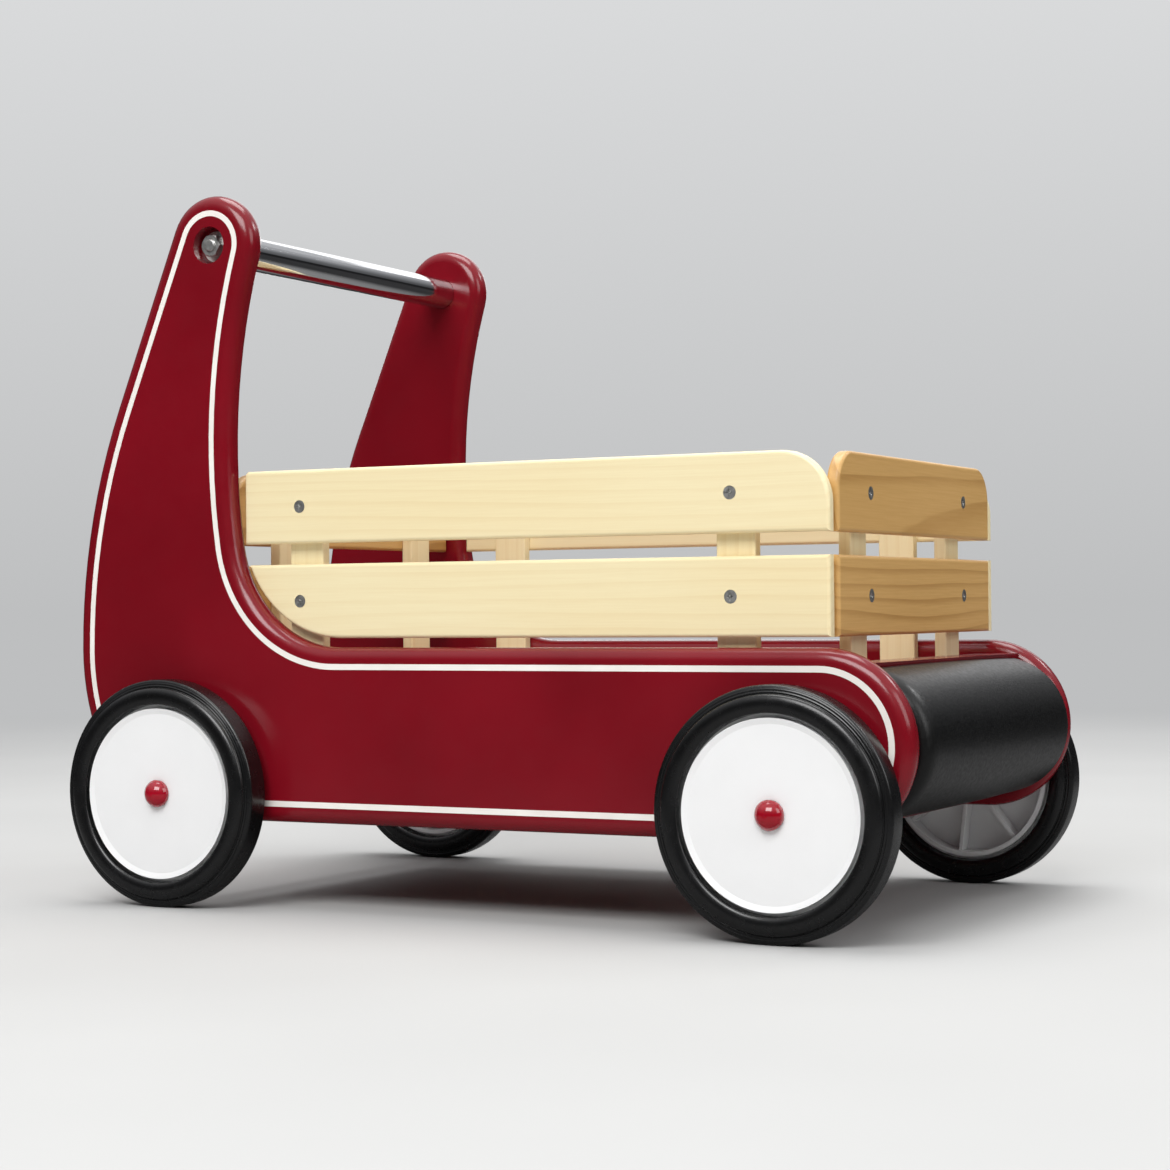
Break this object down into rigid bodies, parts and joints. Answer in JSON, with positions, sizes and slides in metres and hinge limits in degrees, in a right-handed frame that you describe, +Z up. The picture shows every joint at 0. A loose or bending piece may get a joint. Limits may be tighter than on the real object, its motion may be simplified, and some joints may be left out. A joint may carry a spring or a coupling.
{
  "type": "push walker wagon",
  "caption": "Wooden push-walker wagon with a rear push bar, shaped side panels, foam bumper, lift-out slatted rail sections and rubber-tyred wheels.",
  "frame": {"origin": "on the floor below the middle of the wagon's bounding box", "axes": "+X forwards to the bumper, +Y to the wagon's left, +Z up"},
  "size_m": [0.5864, 0.3682, 0.4585],
  "materials": {
    "red_wood": "deep red gloss lacquer over hardwood ply",
    "pine": "clear satin lacquer, pale",
    "golden_pine": "clear satin lacquer, golden, strong grain",
    "beech": "plain",
    "chrome": "polished",
    "zinc_steel": "bright zinc plated",
    "bright_steel": "drawn bright steel",
    "black_rubber": "moulded, satin",
    "white_plastic": "gloss",
    "red_plastic": "gloss, slightly translucent",
    "black_foam": "pebble-grained skin foam",
    "nylon": "moulded nylon"
  },
  "bodies": {
    "wagon": {"right_side_panel": "red_wood", "left_side_panel": "red_wood", "front_board": "red_wood", "rear_board": "red_wood", "floor_board": "red_wood", "floor_cleats": "pine", "board_dowels": "beech", "cleat_screws": "zinc_steel", "floor_screws": "zinc_steel", "bumper_block": "red_wood", "bumper_pad": "black_foam", "bumper_screws": "zinc_steel", "push_bar": "chrome", "push_bar_rod": "zinc_steel", "push_bar_washers": "zinc_steel", "push_bar_nuts": "zinc_steel", "front_axle": "bright_steel", "rear_axle": "bright_steel", "axle_bushings": "nylon", "wheel_spacers": "nylon", "hub_caps": "red_plastic", "push_nuts": "bright_steel", "stake_pockets": "zinc_steel", "pocket_screws": "zinc_steel"},
    "front_right_wheel": {"front_right_tyre": "black_rubber", "front_right_rim": "white_plastic"},
    "front_left_wheel": {"front_left_tyre": "black_rubber", "front_left_rim": "white_plastic"},
    "rear_right_wheel": {"rear_right_tyre": "black_rubber", "rear_right_rim": "white_plastic"},
    "rear_left_wheel": {"rear_left_tyre": "black_rubber", "rear_left_rim": "white_plastic"},
    "right_section": {"right_lower_rail": "pine", "right_upper_rail": "pine", "right_stake_a": "pine", "right_stake_b": "pine", "right_rail_screws": "zinc_steel"},
    "left_section": {"left_lower_rail": "pine", "left_upper_rail": "pine", "left_stake_a": "pine", "left_stake_b": "pine", "left_rail_screws": "zinc_steel"},
    "front_section": {"front_lower_rail": "golden_pine", "front_upper_rail": "golden_pine", "front_stake_a": "pine", "front_stake_b": "pine", "front_rail_screws": "zinc_steel"},
    "rear_section": {"rear_lower_rail": "golden_pine", "rear_upper_rail": "golden_pine", "rear_stake_a": "pine", "rear_stake_b": "pine", "rear_rail_screws": "zinc_steel"}
  },
  "joints": [
    {"name": "front_right_wheel_spin", "type": "hinge", "parent": "wagon", "child": "front_right_wheel", "pos_m": [0.21735, 0, 0.073], "axis": [0, 1, 0], "continuous": true},
    {"name": "front_left_wheel_spin", "type": "hinge", "parent": "wagon", "child": "front_left_wheel", "pos_m": [0.21735, 0, 0.073], "axis": [0, 1, 0], "continuous": true},
    {"name": "rear_right_wheel_spin", "type": "hinge", "parent": "wagon", "child": "rear_right_wheel", "pos_m": [-0.20985, 0, 0.073], "axis": [0, 1, 0], "continuous": true},
    {"name": "rear_left_wheel_spin", "type": "hinge", "parent": "wagon", "child": "rear_left_wheel", "pos_m": [-0.20985, 0, 0.073], "axis": [0, 1, 0], "continuous": true},
    {"name": "right_section_lift", "type": "slide", "parent": "wagon", "child": "right_section", "axis": [0, 0, 1], "range_m": [0, 0.06]},
    {"name": "left_section_lift", "type": "slide", "parent": "wagon", "child": "left_section", "axis": [0, 0, 1], "range_m": [0, 0.06]},
    {"name": "front_section_lift", "type": "slide", "parent": "wagon", "child": "front_section", "axis": [0, 0, 1], "range_m": [0, 0.06]},
    {"name": "rear_section_lift", "type": "slide", "parent": "wagon", "child": "rear_section", "axis": [0, 0, 1], "range_m": [0, 0.06]}
  ]
}
